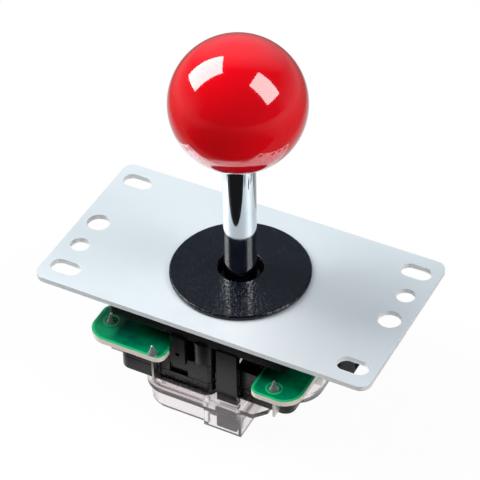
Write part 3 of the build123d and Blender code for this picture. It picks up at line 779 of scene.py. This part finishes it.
def white_paper():
    """Paper that is white to the camera and through the gate, and keeps the part's shadow.

    In a mirror it shows a painted glow instead of lit paper, as dark as the room around the part,
    with painted bright places under the part and behind the ball.
    """
    material, shader = new_material("paper_sweep_white", Base_Color=linear("E8E8E8"),
                                    Roughness=0.9)
    rays = add_node(material, "ShaderNodeLightPath")
    place = add_node(material, "ShaderNodeTexCoord")
    reach = add_node(material, "ShaderNodeVectorMath", {"operation": "LENGTH"},
                     {0: place.outputs["Object"]})
    ahead = add_node(material, "ShaderNodeVectorMath",
                     {"operation": "DOT_PRODUCT", 1: FLOOR_FRONT}, {0: place.outputs["Object"]})
    step = add_node(material, "ShaderNodeMath",
                    {"operation": "MULTIPLY_ADD", 1: STEP_GROWTH, 2: STEP_START},
                    {0: reach.outputs["Value"]})
    step = add_node(material, "ShaderNodeMath", {"operation": "MAXIMUM", 1: OPEN_END},
                    {0: step.outputs[0]})
    open_side = add_node(material, "ShaderNodeMapRange",
                         {"From Min": OPEN_START, "To Min": PAPER_BEHIND, "To Max": PAPER_OPEN},
                         {"Value": ahead.outputs["Value"], "From Max": step.outputs[0]})
    far = add_node(material, "ShaderNodeMapRange",
                   {"From Min": FAR_START, "From Max": FAR_END, "To Min": 0.0, "To Max": FAR_GAIN},
                   {"Value": reach.outputs["Value"]})
    paper = add_node(material, "ShaderNodeMath", {"operation": "MULTIPLY_ADD"},
                     {0: far.outputs["Result"], 1: open_side.outputs["Result"],
                      2: open_side.outputs["Result"]})
    under = add_node(material, "ShaderNodeMapRange",
                     {"From Min": UNDER_START, "From Max": UNDER_END, "To Min": 1.0, "To Max": 0.0},
                     {"Value": reach.outputs["Value"]})
    away = add_node(material, "ShaderNodeVectorMath", {"operation": "DISTANCE", 1: PATCH},
                    {0: place.outputs["Object"]})
    patch = add_node(material, "ShaderNodeMapRange",
                     {"From Min": PATCH_START, "From Max": PATCH_END, "To Min": PATCH_LEVEL,
                      "To Max": 0.0},
                     {"Value": away.outputs["Value"]})
    bright = add_node(material, "ShaderNodeMath", {"operation": "MAXIMUM"},
                      {0: under.outputs["Result"], 1: patch.outputs["Result"]})
    around = add_node(material, "ShaderNodeMath", {"operation": "MAXIMUM"},
                      {0: paper.outputs[0], 1: bright.outputs[0]})
    # painted reflection: the glow that glossy rays see on the paper
    mirrored = add_node(material, "ShaderNodeMath", {"operation": "MULTIPLY"},
                        {0: rays.outputs["Is Glossy Ray"], 1: around.outputs[0]})
    direct = add_node(material, "ShaderNodeMath", {"operation": "MAXIMUM"},
                      {0: rays.outputs["Is Camera Ray"], 1: rays.outputs["Is Transmission Ray"]})
    level = add_node(material, "ShaderNodeMath", {"operation": "MAXIMUM"},
                     {0: direct.outputs[0], 1: mirrored.outputs[0]})
    share = add_node(material, "ShaderNodeMath", {"operation": "MULTIPLY", 1: PAPER_SHARE},
                     {0: direct.outputs[0]})
    share = add_node(material, "ShaderNodeMath", {"operation": "MAXIMUM"},
                     {0: share.outputs[0], 1: rays.outputs["Is Glossy Ray"]})
    glow = add_node(material, "ShaderNodeEmission", {"Color": (1, 1, 1, 1)},
                    {"Strength": level.outputs[0]})
    mix = add_node(material, "ShaderNodeMixShader", None,
                   {0: share.outputs[0], 1: shader.outputs[0], 2: glow.outputs[0]})
    link(material, mix.outputs[0], material.node_tree.nodes["Material Output"], "Surface")
    return material


def studio(world):
    """White to the camera; in a mirror a dark room with a low wall and a brighter back wall."""
    world.use_nodes = True
    rays = add_node(world, "ShaderNodeLightPath")
    way = add_node(world, "ShaderNodeTexCoord")
    height = add_node(world, "ShaderNodeSeparateXYZ", None, {"Vector": way.outputs["Generated"]})
    low_wall = add_node(world, "ShaderNodeMapRange",
                        {"From Min": WALL_FOOT, "From Max": WALL_TOP, "To Min": 1.0, "To Max": 0.0},
                        {"Value": height.outputs["Z"]})
    ahead = add_node(world, "ShaderNodeVectorMath", {"operation": "DOT_PRODUCT", 1: FRONT},
                     {0: way.outputs["Generated"]})
    open_side = add_node(world, "ShaderNodeMapRange",
                         {"From Min": FRONT_START, "From Max": FRONT_END, "To Min": 1.0,
                          "To Max": 0.0},
                         {"Value": ahead.outputs["Value"]})
    wall = add_node(world, "ShaderNodeMath", {"operation": "MULTIPLY"},
                    {0: low_wall.outputs["Result"], 1: open_side.outputs["Result"]})
    room = add_node(world, "ShaderNodeMapRange", {"To Min": ROOM_DARK, "To Max": ROOM_LIGHT},
                    {"Value": wall.outputs[0]})
    behind = add_node(world, "ShaderNodeVectorMath", {"operation": "DOT_PRODUCT", 1: BACK_WALL},
                      {0: way.outputs["Generated"]})
    back_wall = add_node(world, "ShaderNodeMapRange",
                         {"From Min": BACK_START, "From Max": BACK_END, "To Min": 0.0,
                          "To Max": BACK_LEVEL},
                         {"Value": behind.outputs["Value"]})
    level = add_node(world, "ShaderNodeMath", {"operation": "MAXIMUM"},
                     {0: room.outputs["Result"], 1: back_wall.outputs["Result"]})
    level = add_node(world, "ShaderNodeMath", {"operation": "MAXIMUM"},
                     {0: level.outputs[0], 1: rays.outputs["Is Camera Ray"]})
    tint = add_node(world, "ShaderNodeMix",
                    {"data_type": "RGBA", 6: linear(ROOM_TINT), 7: linear("FFFFFF")},
                    {0: rays.outputs["Is Camera Ray"]})
    sky = world.node_tree.nodes["Background"]
    link(world, tint.outputs[2], sky, "Color")
    link(world, level.outputs[0], sky, "Strength")


def add_object(name, data):
    """Adds an object of the stage to the scene."""
    item = bpy.data.objects.new(name, data)
    bpy.context.scene.collection.objects.link(item)
    return item


class JOYSTICK_OT_stage(bpy.types.Operator):
    """White paper, soft boxes and the camera of the photograph"""
    bl_idname = "joystick.stage"
    bl_label = "Stage"

    def execute(self, context):
        scene = context.scene
        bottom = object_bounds()[0][2]
        bm = bmesh.new()
        bmesh.ops.create_grid(bm, x_segments=1, y_segments=1, size=FLOOR_SIZE,
                              matrix=Matrix.Translation((0, 0, bottom - FLOOR_GAP)))
        mesh = bpy.data.meshes.new("floor")
        bm.to_mesh(mesh)
        bm.free()
        mesh.materials.append(white_paper())
        floor = add_object("floor", mesh)
        floor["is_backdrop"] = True

        scene.world = bpy.data.worlds.new("studio")
        studio(scene.world)

        for name, way, tall, width, height, power in SOFT_BOXES:
            lamp = bpy.data.lights.new(name, "AREA")
            lamp.shape = "RECTANGLE"
            lamp.size, lamp.size_y, lamp.energy = width, height, power
            aim = Vector(way).normalized()
            side = Vector(tall).cross(aim).normalized()
            turn = Matrix((side, aim.cross(side), aim)).transposed()
            place = Matrix.Translation(BOX_AIM + aim * BOX_DISTANCE)
            add_object(name, lamp).matrix_world = place @ turn.to_4x4()

        camera = bpy.data.cameras.new("camera")
        camera.lens = FOCAL_LENGTH
        camera.sensor_width = SENSOR_WIDTH
        camera.clip_start = CLIP_START
        view = add_object("camera", camera)
        turn = Matrix(CAMERA_AXES).transposed()
        view.matrix_world = Matrix.Translation(CAMERA_PLACE) @ turn.to_4x4()
        scene.camera = view
        scene.view_settings.view_transform = "Standard"
        return {"FINISHED"}


class JOYSTICK_PT_panel(bpy.types.Panel):
    """Lists the pieces of the joystick"""
    bl_idname = "JOYSTICK_PT_panel"
    bl_label = "Arcade joystick"
    bl_space_type = "VIEW_3D"
    bl_region_type = "UI"
    bl_category = "Joystick"

    def draw(self, context):
        layout = self.layout
        for group in (context.scene.joystick_sizes, context.scene.joystick_colours):
            for name in group.__annotations__:
                layout.prop(group, name)
        for operator in PIECES:
            layout.operator(operator.bl_idname)


PIECES = (
    JOYSTICK_OT_ball, JOYSTICK_OT_shaft, JOYSTICK_OT_washer, JOYSTICK_OT_plate,
    JOYSTICK_OT_housing, JOYSTICK_OT_board, JOYSTICK_OT_switches, JOYSTICK_OT_gate,
    JOYSTICK_OT_inner_parts, JOYSTICK_OT_stage,
)
CLASSES = (JoystickSizes, JoystickColours) + PIECES + (JOYSTICK_PT_panel,)


def register():
    for item in CLASSES:
        bpy.utils.register_class(item)
    bpy.types.Scene.joystick_sizes = bpy.props.PointerProperty(type=JoystickSizes)
    bpy.types.Scene.joystick_colours = bpy.props.PointerProperty(type=JoystickColours)


def unregister():
    del bpy.types.Scene.joystick_colours
    del bpy.types.Scene.joystick_sizes
    for item in reversed(CLASSES):
        bpy.utils.unregister_class(item)


def main():
    register()
    bpy.ops.joystick.ball()
    bpy.ops.joystick.shaft()
    bpy.ops.joystick.washer()
    bpy.ops.joystick.plate()
    bpy.ops.joystick.housing()
    bpy.ops.joystick.board()
    bpy.ops.joystick.switches()
    bpy.ops.joystick.gate()
    bpy.ops.joystick.inner_parts()
    bpy.ops.joystick.stage()


if __name__ == "__main__":
    main()
